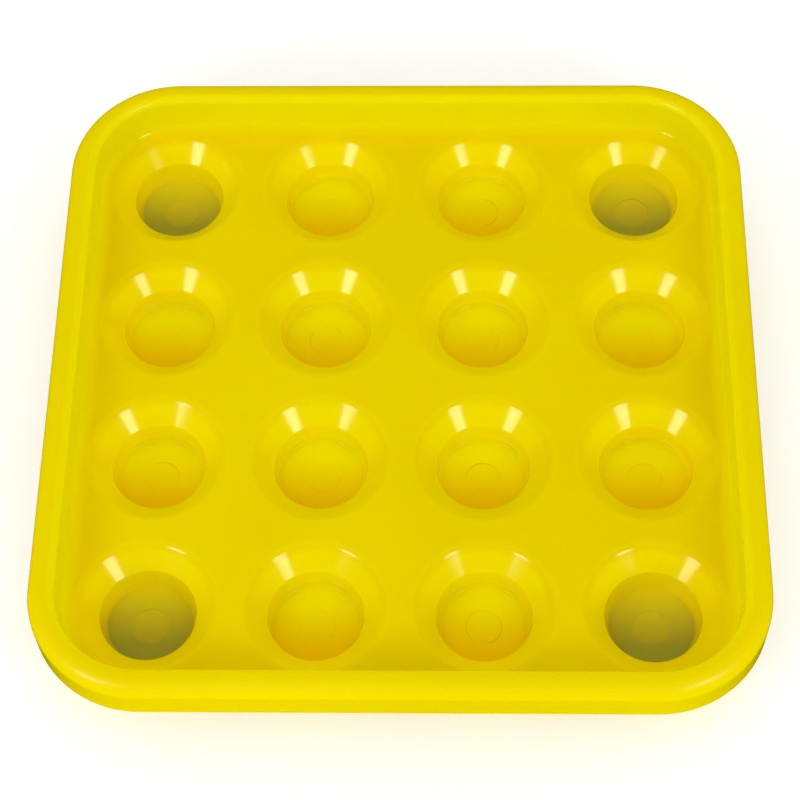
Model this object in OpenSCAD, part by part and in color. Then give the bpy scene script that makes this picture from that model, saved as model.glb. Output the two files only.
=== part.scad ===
// Square tray that holds sixteen billiard balls, moulded in one piece, on four rubber feet.
// Millimetres, +Z up. The origin is on the table, below the middle of the tray.

/* [Ball grid] */
// Number of pockets along each side
side_count = 4; // [2:1:6]
// Distance between the centres of neighbouring pockets
pitch = 62; // [60:0.5:68]

/* [Pocket] */
// Radius of the sharp seat ring, where the funnel meets the collar
seat_r = 18; // [16:0.5:20]
// Slope of the funnel's wall, in degrees from level
funnel_angle = 45; // [40:1:50]
// Height of the funnel, from the seat ring up to the deck
funnel_h = 8; // [6:0.5:9]
// Radius that rounds the funnel's mouth into the deck
mouth_round = 2; // [1:0.5:3]
// Depth of the floor's centre below the seat ring
floor_depth = 9.6; // [7:0.2:12]
// Draft of the collar's wall, in degrees from upright
collar_draft = 8; // [2:1:12]
// Radius of the rounding between the collar and the floor
floor_round = 2; // [1:0.5:4]
// Height of the floor's edge above its centre
floor_dish = 0.8; // [0.4:0.1:1.5]
// Radius of the round mark that the ejector pin leaves on the floor
pin_mark_r = 6.7; // [4:0.1:9]
// Depth of the ejector pin's mark
pin_mark_depth = 0.15; // [0.1:0.05:0.3]

/* [Rim] */
// Distance from an outer pocket's centre to the outside of the rim
rim_margin = 41.3; // [41:0.1:48]
// Radius of the tray's corners, seen from above
corner_r = 42; // [40:0.5:48]
// Height of the rim's top above the deck
rim_h = 18; // [14:0.1:24]
// Height of the outer skirt, down from the rim's top
skirt_h = 18.6; // [12:0.1:20]
// Radius of the rim's outer top edge
outer_round = 6.2; // [4:0.1:6.5]
// Radius of the rim's inner top edge
inner_round = 3.4; // [3:0.1:4]
// Width of the level strip between the two rounded edges
crown_w = 0.4; // [0.2:0.1:1.5]
// Slope of the rim's inner wall, in degrees from level
inner_wall_angle = 87; // [82:1:88]
// Radius of the fillet between the inner wall and the deck
basin_round = 3.5; // [2:0.5:5]

/* [Shell] */
// Wall thickness of the moulding
wall = 2.2; // [1.8:0.1:2.8]

/* [Feet] */
// Radius of a rubber foot
foot_r = 14.2; // [10:0.1:14.5]
// Height of the cups' undersides above the table
foot_stand = 3; // [2:0.5:6]
// Radius of a foot's rounded lower edge
foot_round = 1.2; // [0.5:0.1:1.5]
// Height of the ring that holds a foot in place under its cup
ring_h = 1.2; // [0.8:0.1:1.4]
// Width of that ring
ring_w = 1.4; // [1:0.1:2]
// Radial gap between a foot and its ring
ring_gap = 0.1; // [0.05:0.05:0.3]
// Radius of the hollow in a foot's underside
foot_hollow_r = 7; // [4:0.5:8]
// Depth of that hollow
foot_hollow_depth = 0.8; // [0.4:0.1:1.2]

/* [Hidden] */

$fn = 96;
TRAY_YELLOW = [0.93, 0.83, 0.05];
RUBBER_BLACK = [0.11, 0.11, 0.10];
EPS = 1;          // overshoot of a cutting solid past the face that it opens
ARC_STEP = 9;     // degrees between the points of a rounded corner
FLOOR_JOIN = 20;  // degrees left out of the floor's rounding, where it meets the dish

// Heights above the table
floor_z = foot_stand + wall;
seat_z = floor_z + floor_depth;
deck_z = seat_z + funnel_h;
under_deck_z = deck_z - wall;
mid_deck_z = deck_z - wall / 2;
rim_z = deck_z + rim_h;
skirt_z = rim_z - skirt_h;

// Places seen from above
grid_half = (side_count - 1) * pitch / 2;
half_w = grid_half + rim_margin;
corner_c = half_w - corner_r;

// Pocket
mouth_r = seat_r + funnel_h / tan(funnel_angle);
pocket_r = mouth_r + mouth_round * tan(funnel_angle / 2);
collar_h = floor_depth - floor_dish;
floor_r = seat_r - collar_h * tan(collar_draft);
dish_sphere_r = (pow(floor_r, 2) + pow(floor_dish, 2)) / (2 * floor_dish);

// Rim: crown_in is the crown's inner edge; the inner wall is tangent to the inner rounding
crown_out = half_w - outer_round;
crown_in = crown_out - crown_w;
wall_top = [crown_in - inner_round * sin(inner_wall_angle),
            rim_z - inner_round * (1 - cos(inner_wall_angle))];
basin_half = inner_wall_x(deck_z);
fillet_c = [basin_half - basin_round * tan(inner_wall_angle / 2), deck_z + basin_round];
ring_r = foot_r + ring_gap;

// Distance from the tray's middle to the rim's inner wall, at height z
function inner_wall_x(z) = wall_top.x - (wall_top.y - z) / tan(inner_wall_angle);

// Points on an arc about c, from angle a0 to angle a1
function arc(c, r, a0, a1) =
    let (n = max(2, ceil(abs(a1 - a0) / ARC_STEP)))
    [for (i = [0:n]) let (a = a0 + (a1 - a0) * i / n) c + r * [cos(a), sin(a)]];

// The same outline, moved sideways so that the corner's axis is at x = 0
function from_corner_axis(points) = [for (p = points) [p.x - corner_c, p.y]];

// A solid with this half-section all round the rounded square; it is filled across the middle
// unless the outline starts away from the corner's axis
module around_square(points, filled) {
    side = from_corner_axis(points);
    length = 2 * corner_c;
    for (turn = [0:3]) rotate(90 * turn) {
        translate([corner_c, corner_c, 0])
            rotate_extrude(angle = 90) polygon(side);
        translate([corner_c, corner_c, 0]) rotate([90, 0, 0])
            linear_extrude(height = length) polygon(side);
    }
    if (filled) {
        low = points[0].y;
        high = points[len(points) - 1].y;
        translate([-corner_c, -corner_c, low]) cube([length, length, high - low]);
    }
}

module at_pockets() {
    for (ix = [0:side_count - 1], iy = [0:side_count - 1])
        translate([ix * pitch - grid_half, iy * pitch - grid_half, 0]) children();
}

module at_corner_pocket(side_x, side_y) {
    translate([side_x * grid_half, side_y * grid_half, 0]) children();
}

// Outside of the rim with its rounded top edge, filled down to the deck's underside. The step
// between that underside and the skirt's lower edge lies inside the channel.
module rim_block() {
    step_x = half_w - 2 * wall;
    around_square(concat(
        [[corner_c, under_deck_z], [step_x, under_deck_z], [step_x, skirt_z], [half_w, skirt_z]],
        arc([crown_out, rim_z - outer_round], outer_round, 0, 90),
        [[corner_c, rim_z]]), true);
}

// The open channel inside the rim, one wall thickness in from its outside
module rim_channel() {
    below = min(under_deck_z, skirt_z) - EPS;
    offset_wall = wall / sin(inner_wall_angle);
    around_square(concat(
        [[inner_wall_x(below) + offset_wall, below], [half_w - wall, below]],
        arc([crown_out, rim_z - outer_round], outer_round - wall, 0, 90),
        arc([crown_in, rim_z - inner_round], inner_round - wall, 90, 90 + inner_wall_angle)), false);
}

// The space above the deck and inside the rim
module basin() {
    around_square(concat(
        [[corner_c, deck_z]],
        arc(fillet_c, basin_round, 270, 270 + inner_wall_angle),
        arc([crown_in, rim_z - inner_round], inner_round, 90 + inner_wall_angle, 90),
        [[crown_in, rim_z + EPS], [corner_c, rim_z + EPS]]), true);
}

// The air inside a pocket, from its floor to above the rim
module pocket_space() {
    dish_low = asin(pin_mark_r / dish_sphere_r);
    dish_high = asin((floor_r - floor_round) / dish_sphere_r);
    dish_c = [0, floor_z + dish_sphere_r];
    round_c = [floor_r - floor_round, floor_z + floor_dish + floor_round];
    rotate_extrude() polygon(concat(
        [[0, floor_z - pin_mark_depth], [pin_mark_r, floor_z - pin_mark_depth]],
        arc(dish_c, dish_sphere_r, 270 + dish_low, 270 + dish_high),
        arc(round_c, floor_round, 270 + FLOOR_JOIN, 360 - collar_draft),
        [[seat_r, seat_z]],
        arc([pocket_r, deck_z - mouth_round], mouth_round, 90 + funnel_angle, 90),
        [[pocket_r, rim_z + EPS], [0, rim_z + EPS]]));
}

// The outside of a pocket's cup, one wall thickness away from its inside
module cup_outside() {
    outer_floor_r = floor_r + wall - floor_round;
    outer_collar_r = seat_r + wall;
    shoulder_z = seat_z - wall * tan(funnel_angle / 2);
    outer_mouth_r = outer_collar_r + (mid_deck_z - shoulder_z) / tan(funnel_angle);
    rotate_extrude() polygon(concat(
        [[0, foot_stand], [outer_floor_r, foot_stand]],
        arc([outer_floor_r, foot_stand + floor_round], floor_round, 270, 360 - collar_draft),
        [[outer_collar_r, shoulder_z], [outer_mouth_r, mid_deck_z], [0, mid_deck_z]]));
}

// Ring below a corner cup that a foot sits in
module foot_ring() {
    difference() {
        translate([0, 0, foot_stand - ring_h]) cylinder(r = ring_r + ring_w, h = ring_h + wall / 2);
        translate([0, 0, foot_stand - ring_h - EPS]) cylinder(r = ring_r, h = ring_h + EPS);
    }
}

module tray() {
    color(TRAY_YELLOW) {
        difference() {
            union() {
                difference() {
                    rim_block();
                    rim_channel();
                }
                at_pockets() cup_outside();
            }
            basin();
            at_pockets() pocket_space();
        }
        for (side_x = [-1, 1], side_y = [-1, 1]) at_corner_pocket(side_x, side_y) foot_ring();
    }
}

module foot() {
    color(RUBBER_BLACK) rotate_extrude() polygon(concat(
        [[0, foot_hollow_depth], [foot_hollow_r, foot_hollow_depth], [foot_hollow_r + foot_hollow_depth, 0]],
        arc([foot_r - foot_round, foot_round], foot_round, 270, 360),
        [[foot_r, foot_stand], [0, foot_stand]]));
}

module foot_front_left() { at_corner_pocket(-1, -1) foot(); }
module foot_front_right() { at_corner_pocket(1, -1) foot(); }
module foot_back_left() { at_corner_pocket(-1, 1) foot(); }
module foot_back_right() { at_corner_pocket(1, 1) foot(); }

tray();
foot_front_left();
foot_front_right();
foot_back_left();
foot_back_right();
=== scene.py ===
"""Looks for the square billiard ball tray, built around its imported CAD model.

The moulding is one closed mesh. Inside the rim it is a grid of ring-shaped cells, one round each
pocket; outside that, one section goes up the inner wall, over the rim, down the skirt and back
along the hidden side.
Lengths are in millimetres until a mesh is made, and the frame of axes is the CAD model's.
"""
import math

import bpy
import numpy as np
from mathutils import Matrix, Vector


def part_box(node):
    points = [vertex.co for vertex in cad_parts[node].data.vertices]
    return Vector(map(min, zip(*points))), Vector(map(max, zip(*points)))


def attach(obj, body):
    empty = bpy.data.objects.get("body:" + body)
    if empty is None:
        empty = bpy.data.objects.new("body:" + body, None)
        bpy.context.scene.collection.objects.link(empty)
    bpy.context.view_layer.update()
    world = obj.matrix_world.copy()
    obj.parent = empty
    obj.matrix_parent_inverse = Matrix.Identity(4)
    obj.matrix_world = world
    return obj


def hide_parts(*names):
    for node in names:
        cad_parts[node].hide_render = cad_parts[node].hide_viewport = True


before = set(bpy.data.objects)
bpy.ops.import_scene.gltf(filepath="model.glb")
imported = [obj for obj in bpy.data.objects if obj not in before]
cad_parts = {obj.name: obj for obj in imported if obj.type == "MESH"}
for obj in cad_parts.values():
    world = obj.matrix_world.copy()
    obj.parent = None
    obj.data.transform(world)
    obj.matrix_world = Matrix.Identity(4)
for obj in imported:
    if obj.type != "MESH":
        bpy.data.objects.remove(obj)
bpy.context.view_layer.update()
MM = 0.001

# ---------------------------------------------------------------- sizes of the moulding (mm)
SIDE_COUNT = 4
PITCH = 62.0
SEAT_R = 18.0
FUNNEL_H = 8.0
FLOOR_DEPTH = 9.6
COLLAR_DRAFT = math.radians(8)
FLOOR_ROUND = 2.0
FLOOR_DISH = 0.8
PIN_MARK_R = 6.7
PIN_MARK_DEPTH = 0.15
SEAT_EDGE = 0.35          # radius worn onto the seat ring's edge
CORNER_R = 42.0
SKIRT_H = 18.6
OUTER_ROUND = 6.2
INNER_ROUND = 3.4
CROWN_W = 0.4
INNER_WALL_ANGLE = math.radians(87)
BASIN_ROUND = 3.5
WALL = 2.2
RING_H = 1.2
RING_W = 1.4
RING_GAP = 0.1
SKIRT_EDGE = 0.6          # radius of the skirt's lower edges
SMALL_EDGE = 0.25         # radius of the other small edges

tray_low, tray_high = (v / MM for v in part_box("tray"))
foot_low, foot_high = (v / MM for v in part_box("foot_front_right"))
HALF_W = tray_high.x
RIM_Z = tray_high.z
FOOT_STAND = foot_high.z
FOOT_R = (foot_high.x - foot_low.x) / 2
GRID_HALF = (SIDE_COUNT - 1) * PITCH / 2
FLOOR_Z = FOOT_STAND + WALL
SEAT_Z = FLOOR_Z + FLOOR_DEPTH
DECK_Z = SEAT_Z + FUNNEL_H
UNDER_DECK_Z = DECK_Z - WALL
SKIRT_Z = RIM_Z - SKIRT_H
CORNER_C = HALF_W - CORNER_R
FLOOR_R = SEAT_R - (FLOOR_DEPTH - FLOOR_DISH) * math.tan(COLLAR_DRAFT)
CROWN_OUT = HALF_W - OUTER_ROUND
CROWN_IN = CROWN_OUT - CROWN_W
WALL_TOP_H = CROWN_IN - INNER_ROUND * math.sin(INNER_WALL_ANGLE)
WALL_TOP_Z = RIM_Z - INNER_ROUND * (1 - math.cos(INNER_WALL_ANGLE))
BASIN_HALF = WALL_TOP_H - (WALL_TOP_Z - DECK_Z) / math.tan(INNER_WALL_ANGLE)
BASIN_FLAT = BASIN_HALF - BASIN_ROUND * math.tan(INNER_WALL_ANGLE / 2)
RING_R = FOOT_R + RING_GAP

# How finely the moulding is divided
SPOKES = 72               # points round a pocket; the cells' corners are on the spokes at 45 degrees
CELL_EDGE = BASIN_FLAT + 0.8   # the cells end just inside the fillet at the foot of the wall
SPLIT_R = 24.6            # inside this the pocket is purely round; outside it blends with the deck
MOUTH_BLEND = 1.4         # height over which the funnel's mouth rounds into the deck
UNDER_BLEND = 0.6         # the same below the deck
TOP_RINGS = (25.0, 25.4, 25.8, 26.2, 26.6, 27.0, 27.4)
TOP_REACH = (0.5, 1.0)
UNDER_RINGS = (25.6, 26.3, 26.7, 27.1, 27.5)
UNDER_REACH = (0.5, 1.0)
PLACES_PER_MM = 2000      # points that round to the same place become one

# ---------------------------------------------------------------- camera, floor and light (m, W)
CAMERA_AT = (0.0186, -0.4214, 0.7388 + SEAT_Z * MM)
CAMERA_YAW, CAMERA_PITCH, CAMERA_ROLL = -2.70, 60.37, -2.25
CAMERA_LENS, CAMERA_SENSOR = 98.4, 36.0
FLOOR_REACH = 6.0
FLOOR_GLOW = 0.22
WORLD_STRENGTH = 0.81
SOFT_BOX_SIDE, SOFT_BOX_WATTS = 0.36, 2.9
SOFT_BOXES = {"soft_box_right": (0.84, -0.94, 0.72), "soft_box_left": (-0.82, -0.86, 0.72)}


# ---------------------------------------------------------------- outlines with rounded corners
def rounded_line(corners, steps_per_turn=14):
    """Points and left-hand normals along a line whose corners (x, z, radius) are rounded."""
    points, normals = [], []
    count = len(corners)
    for i, (x, z, radius) in enumerate(corners):
        here = np.array((x, z))
        before = here - np.array(corners[i - 1][:2]) if i else None
        after = np.array(corners[i + 1][:2]) - here if i + 1 < count else None
        if before is not None:
            before = before / np.linalg.norm(before)
        if after is not None:
            after = after / np.linalg.norm(after)
        if before is None or after is None:
            way = after if before is None else before
            points.append(here)
            normals.append(np.array((-way[1], way[0])))
            continue
        turn = math.atan2(before[0] * after[1] - before[1] * after[0], float(before @ after))
        if abs(turn) < 1e-6:
            points.append(here)
            normals.append(np.array((-before[1], before[0])))
            continue
        run = radius * math.tan(abs(turn) / 2)
        steps = max(2, math.ceil(abs(turn) / math.pi * steps_per_turn))
        start_normal = np.array((-before[1], before[0]))
        centre = here - before * run + start_normal * radius * math.copysign(1, turn)
        for k in range(steps + 1):
            a = turn * k / steps
            normal = np.array((start_normal[0] * math.cos(a) - start_normal[1] * math.sin(a),
                               start_normal[0] * math.sin(a) + start_normal[1] * math.cos(a)))
            points.append(centre - normal * radius * math.copysign(1, turn))
            normals.append(normal)
    return np.array(points), np.array(normals)


def fill_long_steps(points, normals, longest):
    """Adds points on the straight stretches, so that no step is longer than this."""
    out_p, out_n = [points[0]], [normals[0]]
    for i in range(1, len(points)):
        gap = np.linalg.norm(points[i] - points[i - 1])
        parts = max(1, math.ceil(gap / longest))
        for k in range(1, parts + 1):
            t = k / parts
            out_p.append(points[i - 1] * (1 - t) + points[i] * t)
            normal = normals[i - 1] * (1 - t) + normals[i] * t
            out_n.append(normal / np.linalg.norm(normal))
    return np.array(out_p), np.array(out_n)


def pocket_inside():
    """From the floor's centre up to SPLIT_R on the funnel. The normals point into the air."""
    edge_z = FLOOR_Z + FLOOR_DISH
    line = rounded_line([
        (0.0, FLOOR_Z - PIN_MARK_DEPTH, 0),
        (PIN_MARK_R, FLOOR_Z - PIN_MARK_DEPTH, 0.5),
        (PIN_MARK_R + 0.4, FLOOR_Z, 0.5),
        (10.5, FLOOR_Z, 30.0),
        (FLOOR_R, edge_z, FLOOR_ROUND),
        (SEAT_R, SEAT_Z, SEAT_EDGE),
        (SPLIT_R, SEAT_Z + SPLIT_R - SEAT_R, 0)])
    return fill_long_steps(*line, 3.2)


def cup_underside(has_ring):
    """From the cup's centre out to SPLIT_R on the funnel's outside. The normals point up."""
    shoulder_z = SEAT_Z - WALL * math.tan(math.pi / 8)
    line = [(0.0, FOOT_STAND, 0)]
    if has_ring:
        low = FOOT_STAND - RING_H
        line += [(RING_R, FOOT_STAND, 0.1), (RING_R, low, SMALL_EDGE),
                 (RING_R + RING_W, low, SMALL_EDGE), (RING_R + RING_W, FOOT_STAND, 0.1)]
    line += [(FLOOR_R + WALL, FOOT_STAND, FLOOR_ROUND),
             (SEAT_R + WALL, shoulder_z, 1.0),
             (SPLIT_R, shoulder_z + SPLIT_R - SEAT_R - WALL, 0)]
    return fill_long_steps(*rounded_line(line, 10), 5.0)


def rim_section():
    """From the fillet at CELL_EDGE, over the crown, down the skirt and back along the hidden side."""
    cot = 1 / math.tan(INNER_WALL_ANGLE)
    sharp_in = WALL_TOP_H + (RIM_Z - WALL_TOP_Z) * cot
    hidden = WALL / math.sin(INNER_WALL_ANGLE)
    top = RIM_Z - WALL
    turns = np.linspace(math.asin((CELL_EDGE - BASIN_FLAT) / BASIN_ROUND), INNER_WALL_ANGLE, 9)
    fillet = np.stack([BASIN_FLAT + BASIN_ROUND * np.sin(turns),
                       DECK_Z + BASIN_ROUND * (1 - np.cos(turns))], -1)
    fillet_normals = np.stack([-np.sin(turns), np.cos(turns)], -1)
    points, normals = rounded_line([
        (*fillet[-1], 0),
        (sharp_in, RIM_Z, INNER_ROUND),
        (HALF_W, RIM_Z, OUTER_ROUND),
        (HALF_W, SKIRT_Z, SKIRT_EDGE),
        (HALF_W - WALL, SKIRT_Z, SKIRT_EDGE),
        (HALF_W - WALL, top, OUTER_ROUND - WALL),
        (sharp_in + hidden - WALL * cot, top, INNER_ROUND - WALL),
        (BASIN_HALF + hidden - WALL * cot, UNDER_DECK_Z, SMALL_EDGE),
        (CELL_EDGE, UNDER_DECK_Z, 0)], 18)
    return fill_long_steps(np.concatenate([fillet[:-1], points]),
                           np.concatenate([fillet_normals[:-1], normals]), 4.5)


# ---------------------------------------------------------------- heights of deck and funnels
def blended_min(a, b, width):
    part = np.clip(width - np.abs(a - b), 0, None) / width
    return np.minimum(a, b) - part * part * width / 4


def square_distance(x, y):
    """Distance from the middle, measured so that the rim's outlines are its contours."""
    ax, ay = np.abs(x), np.abs(y)
    corner = CORNER_C + np.hypot(ax - CORNER_C, ay - CORNER_C)
    return np.where((ax > CORNER_C) & (ay > CORNER_C), corner, np.maximum(ax, ay))


def deck_height(h, thick):
    """The deck and the start of the fillet, or the deck's flat underside."""
    if thick:
        return np.full_like(h, UNDER_DECK_Z)
    out = np.clip(h - BASIN_FLAT, 0, BASIN_ROUND)
    return DECK_Z + BASIN_ROUND - np.sqrt(BASIN_ROUND ** 2 - out ** 2)


def surface(x, y, cx, cy, thick):
    r = np.hypot(x - cx, y - cy)
    funnel = SEAT_Z + r - SEAT_R - thick * math.sqrt(2)
    deck = deck_height(square_distance(x, y), thick)
    return blended_min(deck, funnel, UNDER_BLEND if thick else MOUTH_BLEND)


def surface_normal(x, y, cx, cy, thick):
    step = 0.01
    dx = (surface(x + step, y, cx, cy, thick) - surface(x - step, y, cx, cy, thick)) / (2 * step)
    dy = (surface(x, y + step, cx, cy, thick) - surface(x, y - step, cx, cy, thick)) / (2 * step)
    normal = np.stack([-dx, -dy, np.ones_like(dx)], -1)
    return normal / np.linalg.norm(normal, axis=-1, keepdims=True)


# ---------------------------------------------------------------- the moulding's mesh
def side_limits(c):
    """How far a cell reaches below and above its centre c, along one row direction."""
    outer = CELL_EDGE - abs(c)
    is_outer = abs(c) > GRID_HALF - 1
    return (outer if is_outer and c < 0 else PITCH / 2, outer if is_outer and c > 0 else PITCH / 2)


def cell_outline(cx, cy):
    """The angles of a cell's spokes, with one at each corner, and each spoke's reach to its edge."""
    angles = np.arange(SPOKES) * 2 * math.pi / SPOKES
    (left, right), (front, back) = side_limits(cx), side_limits(cy)
    eighth = SPOKES // 8
    for turn, (x, y) in enumerate(((right, back), (-left, back), (-left, -front), (right, -front))):
        angles[eighth * (2 * turn + 1)] = math.atan2(y, x) % (2 * math.pi)
    cos, sin = np.cos(angles), np.sin(angles)
    reach = np.minimum(np.where(cos > 0, right, left) / np.maximum(np.abs(cos), 1e-9),
                       np.where(sin > 0, back, front) / np.maximum(np.abs(sin), 1e-9))
    if abs(cx) < GRID_HALF - 1 or abs(cy) < GRID_HALF - 1:
        return angles, reach
    offset = np.array((cx, cy)) - np.sign((cx, cy)) * CORNER_C
    for i, way in enumerate(np.stack([cos, sin], -1)):
        tip = np.array((cx, cy)) + way * reach[i]
        if (np.sign((cx, cy)) * tip > CORNER_C).all():
            along = float(way @ offset)
            reach[i] = -along + math.sqrt(along ** 2 - float(offset @ offset) + (CELL_EDGE - CORNER_C) ** 2)
    return angles, reach


class Moulding:
    """Collects points, normals and faces; points at the same place become one."""

    def __init__(self):
        self.points, self.normals, self.faces, self.known = [], [], [], {}

    def add(self, point, normal):
        key = tuple(int(round(c * PLACES_PER_MM)) for c in point)
        if key not in self.known:
            self.known[key] = len(self.points)
            self.points.append(point)
            self.normals.append(normal)
        return self.known[key]

    def add_rows(self, points, normals):
        return [[self.add(p, n) for p, n in zip(prow, nrow)] for prow, nrow in zip(points, normals)]

    def bridge(self, rows, closed, flip):
        for low, high in zip(rows, rows[1:]):
            last = len(low) if closed else len(low) - 1
            for j in range(last):
                k = (j + 1) % len(low)
                face = (low[j], high[j], high[k], low[k])
                self.faces.append(face[::-1] if flip else face)

    def fan(self, centre, ring, flip):
        for j in range(len(ring)):
            face = (centre, ring[j], ring[(j + 1) % len(ring)])
            self.faces.append(face[::-1] if flip else face)


def add_cell(mould, cx, cy, line, rings, reach_steps, thick):
    """One pocket's cell: a turned middle, then rings that spread out to the cell's edge."""
    angles, reach = cell_outline(cx, cy)
    cos, sin = np.cos(angles), np.sin(angles)
    sign = 1 if thick == 0 else -1
    points, normals = [], []
    for (r, z), (nr, nz) in zip(*line):
        points.append(np.stack([cx + r * cos, cy + r * sin, np.full(SPOKES, z)], -1))
        normals.append(sign * np.stack([nr * cos, nr * sin, np.full(SPOKES, nz)], -1))
    radii = [np.full(SPOKES, r) for r in rings]
    radii += [rings[-1] + (reach - rings[-1]) * s for s in reach_steps]
    for r in radii:
        x, y = cx + r * cos, cy + r * sin
        points.append(np.stack([x, y, surface(x, y, cx, cy, thick)], -1))
        normals.append(sign * surface_normal(x, y, cx, cy, thick))
    centre = mould.add(points[0][0], normals[0][0])
    rows = mould.add_rows(points[1:], normals[1:])
    mould.fan(centre, rows[0], flip=thick > 0)
    mould.bridge(rows, closed=True, flip=thick > 0)
    return points[-1]


def add_rim(mould, edge_points):
    """The rim's section, carried round the cells' outer edge."""
    edge = [p for p in edge_points if abs(square_distance(p[0], p[1]) - CELL_EDGE) < 1e-3]
    edge = {(round(p[0], 3), round(p[1], 3)): p for p in edge}.values()
    edge = sorted(edge, key=lambda p: math.atan2(p[1], p[0]))
    section, section_normals = rim_section()
    rows = []
    for p in edge:
        inside = min(abs(p[0]), abs(p[1])) <= CORNER_C
        if inside:
            out = np.array((np.sign(p[0]) * (abs(p[0]) > abs(p[1])), np.sign(p[1]) * (abs(p[1]) > abs(p[0]))))
        else:
            out = np.array((p[0], p[1])) - np.sign((p[0], p[1])) * CORNER_C
            out = out / np.linalg.norm(out)
        row = []
        for (h, z), (nh, nz) in zip(section, section_normals):
            at = (*(np.array(p[:2]) + out * (h - CELL_EDGE)), z)
            row.append(mould.add(at, (*(out * nh), nz)))
        rows.append(row)
    rows.append(rows[0])
    mould.bridge(rows, closed=False, flip=True)


def make_tray():
    mould = Moulding()
    grid = [i * PITCH - GRID_HALF for i in range(SIDE_COUNT)]
    edge_points = []
    for cx in grid:
        for cy in grid:
            corner = abs(cx) == GRID_HALF and abs(cy) == GRID_HALF
            edge_points += list(add_cell(mould, cx, cy, pocket_inside(), TOP_RINGS, TOP_REACH, 0))
            add_cell(mould, cx, cy, cup_underside(corner), UNDER_RINGS, UNDER_REACH, WALL)
    add_rim(mould, edge_points)
    return mesh_object("tray_moulding", mould)


def mesh_object(name, mould):
    mesh = bpy.data.meshes.new(name)
    mesh.from_pydata([tuple(c * MM for c in p) for p in mould.points], [], mould.faces)
    mesh.validate()
    mesh.polygons.foreach_set("use_smooth", [True] * len(mesh.polygons))
    mesh.normals_split_custom_set_from_vertices([tuple(n) for n in mould.normals])
    mesh.update()
    obj = bpy.data.objects.new(name, mesh)
    bpy.context.scene.collection.objects.link(obj)
    return obj


# ---------------------------------------------------------------- materials
class Nodes:
    """Short calls for building one material's node tree."""

    def __init__(self, name):
        self.material = bpy.data.materials.new(name)
        self.material.use_nodes = True
        self.tree = self.material.node_tree
        self.shader = next(n for n in self.tree.nodes if n.type == "BSDF_PRINCIPLED")
        self.place = self.node("ShaderNodeTexCoord").outputs["Object"]

    def node(self, kind, **settings):
        made = self.tree.nodes.new(kind)
        for key, value in settings.items():
            setattr(made, key, value)
        return made

    def link(self, source, socket):
        self.tree.links.new(source, socket)

    def noise(self, scale, detail=2.0, roughness=0.5):
        made = self.node("ShaderNodeTexNoise")
        self.link(self.place, made.inputs["Vector"])
        made.inputs["Scale"].default_value = scale
        made.inputs["Detail"].default_value = detail
        made.inputs["Roughness"].default_value = roughness
        return made.outputs["Fac"]

    def streaks(self, along, scale, detail=2.0):
        """Noise that changes along one measure only, such as the rings that a turning tool leaves."""
        made = self.node("ShaderNodeTexNoise", noise_dimensions="1D")
        self.link(along, made.inputs["W"])
        made.inputs["Scale"].default_value = scale
        made.inputs["Detail"].default_value = detail
        return made.outputs["Fac"]

    def remap(self, source, low, high, to_low, to_high, smooth=False):
        made = self.node("ShaderNodeMapRange")
        if smooth:
            made.interpolation_type = "SMOOTHSTEP"
        self.link(source, made.inputs["Value"])
        for key, value in (("From Min", low), ("From Max", high), ("To Min", to_low), ("To Max", to_high)):
            made.inputs[key].default_value = value
        return made.outputs["Result"]

    def fade(self, source, low, high, to_low, to_high, smooth=True):
        """The same, between two places given in millimetres."""
        return self.remap(source, low * MM, high * MM, to_low, to_high, smooth)

    def math(self, operation, a, b=None, c=None):
        made = self.node("ShaderNodeMath", operation=operation)
        for socket, value in zip(made.inputs, (a, b, c)):
            if isinstance(value, (int, float)):
                socket.default_value = value
            elif value is not None:
                self.link(value, socket)
        return made.outputs[0]

    def mix(self, factor, a, b):
        made = self.node("ShaderNodeMix", data_type="RGBA")
        for socket, value in ((made.inputs["Factor"], factor), (made.inputs["A"], a), (made.inputs["B"], b)):
            if isinstance(value, tuple):
                socket.default_value = (*value, 1.0)
            elif isinstance(value, (int, float)):
                socket.default_value = value
            else:
                self.link(value, socket)
        return made.outputs["Result"]

    def bump(self, height, strength, distance):
        made = self.node("ShaderNodeBump")
        self.link(height, made.inputs["Height"])
        made.inputs["Strength"].default_value = strength
        made.inputs["Distance"].default_value = distance
        self.link(made.outputs["Normal"], self.shader.inputs["Normal"])


def hypotenuse(n, a, b):
    return n.math("SQRT", n.math("ADD", n.math("MULTIPLY", a, a), n.math("MULTIPLY", b, b)))


def pocket_measures(n, parts):
    """Distance from the nearest pocket's axis, the same along Y, and 1 at the corner pockets."""
    half = PITCH / 2 * MM
    across, along = [n.math("WRAP", n.math("ADD", parts.outputs[axis], half), half, -half) for axis in "XY"]
    outer = [n.math("GREATER_THAN", n.math("ABSOLUTE", parts.outputs[axis]), PITCH * MM) for axis in "XY"]
    return hypotenuse(n, across, along), along, n.math("MULTIPLY", *outer)


def rim_distance(n, parts):
    """Distance from the middle, measured so that the rim's outlines are its contours."""
    corner = CORNER_C * MM
    past = [n.math("MAXIMUM", n.math("SUBTRACT", n.math("ABSOLUTE", parts.outputs[axis]), corner), 0.0)
            for axis in "XY"]
    return n.math("ADD", hypotenuse(n, *past), corner)


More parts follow.
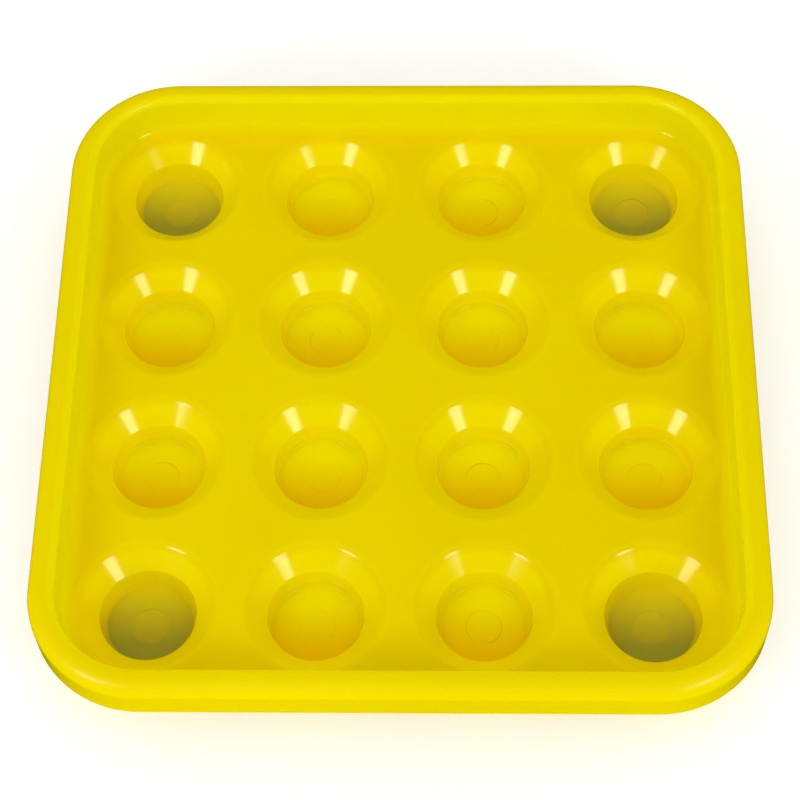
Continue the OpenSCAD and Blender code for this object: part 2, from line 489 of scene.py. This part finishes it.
def yellow_plastic():
    """Glossy translucent plastic with painted light and shade; the rubber feet show through the corner
    pockets' floors.
    """
    n = Nodes("yellow_plastic")
    s = n.shader.inputs
    yellow, deep, painted_light_colour = (0.86, 0.71, 0.0), (0.83, 0.68, 0.0), (1.0, 0.845, 0.0)
    cup_far_painted_light, cup_near_painted_shade = (1.0, 0.83, 0.0), (0.92, 0.63, 0.0)
    olive, line_brown = (0.41, 0.38, 0.035), (0.42, 0.31, 0.0)
    parts = n.node("ShaderNodeSeparateXYZ")
    n.link(n.place, parts.inputs[0])
    radius, along, at_corner = pocket_measures(n, parts)
    height = parts.outputs["Z"]
    colour = n.mix(n.remap(n.noise(14.0, 3.0), 0.35, 0.65, 0.0, 1.0), yellow, deep)

    # painted light from behind brightens the inner wall, the funnels' far sides and the cups
    below_deck = n.fade(height, DECK_Z - 3.5, DECK_Z - 0.2, 0.6, 0.0)
    far_side = n.fade(along, -4.0, 14.0, 0.0, 1.0)
    from_middle = rim_distance(n, parts)
    past_deck = n.fade(from_middle, BASIN_FLAT - 2.5, BASIN_HALF, 0.0, 0.85)
    inner_wall = n.fade(from_middle, WALL_TOP_H, CROWN_IN, 1.0, 0.12)
    painted_light_mask = n.math("MULTIPLY_ADD", past_deck, inner_wall, n.math("MULTIPLY", below_deck, far_side))
    # painted light: a brighter glowing yellow mixed in where the masks above reach
    colour = n.mix(painted_light_mask, colour, painted_light_colour)
    # painted shade on each cup's near side, under the collar wall, and painted light on its far side
    in_cup = n.fade(height, FLOOR_Z + 1.5, FLOOR_Z + 6.5, 1.0, 0.0)
    to_far = n.fade(along, -12.0, 8.0, 0.0, 1.0, smooth=False)
    colour = n.mix(in_cup, colour, n.mix(to_far, cup_near_painted_shade, cup_far_painted_light))

    # the rubber foot behind a corner pocket's floor, with painted shade that darkens the floor towards its
    # near side
    over_foot = n.fade(radius, 15.0, 18.2, 1.0, 0.0)
    low_down = n.fade(height, FLOOR_Z + 1.0, FLOOR_Z + 6.0, 1.0, 0.0)
    # painted shade: the corner floor is darker towards its near side, under the collar wall
    near_side_painted_shade = n.fade(along, -8.0, 16.0, 1.0, 0.12, smooth=False)
    pad = n.fade(radius, 6.0, 7.8, 0.84, 1.0)
    foot_and_painted_shade = n.math("MULTIPLY", n.math("MULTIPLY", over_foot, low_down), n.math("MULTIPLY", near_side_painted_shade, pad))
    colour = n.mix(n.math("MULTIPLY", foot_and_painted_shade, at_corner), colour, olive)

    # the ejector pin's witness line, which comes and goes
    off_line = n.math("ABSOLUTE", n.math("SUBTRACT", radius, PIN_MARK_R * MM))
    line = n.fade(off_line, 0.08, 0.38, 1.0, 0.0)
    on_floor = n.fade(height, FLOOR_Z + 0.4, FLOOR_Z + 0.9, 1.0, 0.0, smooth=False)
    strength = n.remap(n.noise(55.0, 2.0), 0.48, 0.70, 0.0, 0.45)
    witness = n.math("MULTIPLY", n.math("MULTIPLY", line, on_floor), strength)
    colour = n.mix(witness, colour, line_brown)
    n.link(colour, s["Base Color"])

    # polished funnels and wall, duller floors, and a crown that hands have dulled
    floor_zone = n.fade(height, FLOOR_Z, FLOOR_Z + 2.5, 0.10, 0.0)
    crown_zone = n.fade(height, RIM_Z - 5.0, RIM_Z - 1.5, 0.0, 0.17)
    gloss = n.remap(n.noise(60.0, 4.0), 0.3, 0.7, 0.12, 0.145)
    n.link(n.math("ADD", gloss, n.math("ADD", floor_zone, crown_zone)), s["Roughness"])
    n.link(n.fade(height, FLOOR_Z, FLOOR_Z + 5.0, 0.12, 0.5), s["Specular IOR Level"])
    s["IOR"].default_value = 1.5
    s["Specular Tint"].default_value = (1.0, 0.97, 0.72, 1.0)
    s["Subsurface Weight"].default_value = 1.0
    s["Subsurface Radius"].default_value = (1.0, 0.9, 0.05)
    s["Subsurface Scale"].default_value = 0.0025

    # the mould's tool marks run round each funnel; the rest is very slightly uneven
    rings = n.streaks(radius, 1500.0, 1.0)
    in_funnel = n.fade(height, DECK_Z - 0.4, DECK_Z - 1.2, 0.0, 1.0, smooth=False)
    above_seat = n.fade(height, SEAT_Z - 0.2, SEAT_Z + 0.4, 0.0, 1.0, smooth=False)
    marks = n.math("MULTIPLY", rings, n.math("MULTIPLY", in_funnel, above_seat))
    n.bump(n.math("MULTIPLY_ADD", marks, 0.12, n.noise(35.0, 2.0)), 0.07, 0.0004)
    return n.material


def black_rubber():
    n = Nodes("black_rubber")
    s = n.shader.inputs
    speckle = n.noise(420.0, 4.0, 0.7)
    dark, dusty = (0.018, 0.018, 0.017), (0.04, 0.039, 0.036)
    n.link(n.mix(n.remap(speckle, 0.3, 0.7, 0.0, 1.0), dark, dusty), s["Base Color"])
    n.link(n.remap(n.noise(90.0, 3.0), 0.3, 0.7, 0.62, 0.8), s["Roughness"])
    n.bump(speckle, 0.35, 0.0002)
    return n.material


def pale_floor():
    n = Nodes("pale_floor")
    s = n.shader.inputs
    n.link(n.mix(n.noise(3.0, 2.0), (0.955, 0.955, 0.955), (0.965, 0.965, 0.965)), s["Base Color"])
    s["Emission Color"].default_value = (1.0, 1.0, 1.0, 1.0)
    s["Emission Strength"].default_value = FLOOR_GLOW
    s["Roughness"].default_value = 0.9
    s["Specular IOR Level"].default_value = 0.1
    return n.material


# ---------------------------------------------------------------- pieces
tray = make_tray()
tray.data.materials.append(yellow_plastic())
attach(tray, "root")
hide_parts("tray")

rubber = black_rubber()
for node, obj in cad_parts.items():
    if node.startswith("foot_"):
        obj.data.materials.clear()
        obj.data.materials.append(rubber)


# ---------------------------------------------------------------- camera, floor and light
def look_axes(yaw, pitch, roll):
    """A camera's right, up and forward directions. Yaw 0 looks along +Y; pitch is downwards."""
    forward = Vector((math.sin(yaw) * math.cos(pitch), math.cos(yaw) * math.cos(pitch), -math.sin(pitch)))
    level = Vector((math.cos(yaw), -math.sin(yaw), 0.0))
    raised = level.cross(forward)
    right = level * math.cos(roll) + raised * math.sin(roll)
    up = raised * math.cos(roll) - level * math.sin(roll)
    return right, up, forward


def add_camera():
    right, up, forward = look_axes(*map(math.radians, (CAMERA_YAW, CAMERA_PITCH, CAMERA_ROLL)))
    data = bpy.data.cameras.new("camera")
    data.sensor_width = CAMERA_SENSOR
    data.lens = CAMERA_LENS
    data.clip_start, data.clip_end = 0.01, 50.0
    camera = bpy.data.objects.new("camera", data)
    turn = Matrix((right, up, -forward)).transposed().to_4x4()
    camera.matrix_world = Matrix.Translation(CAMERA_AT) @ turn
    bpy.context.scene.collection.objects.link(camera)
    bpy.context.scene.camera = camera


def add_soft_box(name, at):
    """A square soft light that faces the tray's middle."""
    data = bpy.data.lights.new(name, "AREA")
    data.shape = "RECTANGLE"
    data.size, data.size_y = SOFT_BOX_SIDE, SOFT_BOX_SIDE
    data.energy = SOFT_BOX_WATTS
    lamp = bpy.data.objects.new(name, data)
    lamp.location = at
    lamp.rotation_euler = (-Vector(at)).to_track_quat("-Z", "Y").to_euler()
    bpy.context.scene.collection.objects.link(lamp)


def add_floor():
    mesh = bpy.data.meshes.new("floor")
    corners = [(-1, -1), (1, -1), (1, 1), (-1, 1)]
    mesh.from_pydata([(x * FLOOR_REACH, y * FLOOR_REACH, 0) for x, y in corners], [], [(0, 1, 2, 3)])
    obj = bpy.data.objects.new("floor", mesh)
    obj.data.materials.append(pale_floor())
    obj.visible_glossy = False
    bpy.context.scene.collection.objects.link(obj)


def add_world(strength):
    world = bpy.data.worlds.new("studio")
    world.use_nodes = True
    world.node_tree.nodes["Background"].inputs["Color"].default_value = (1.0, 1.0, 1.0, 1.0)
    world.node_tree.nodes["Background"].inputs["Strength"].default_value = strength
    world.cycles_visibility.glossy = False
    bpy.context.scene.world = world


add_camera()
add_floor()
add_world(WORLD_STRENGTH)
for box_name, box_at in SOFT_BOXES.items():
    add_soft_box(box_name, box_at)
bpy.context.scene.view_settings.view_transform = "Standard"
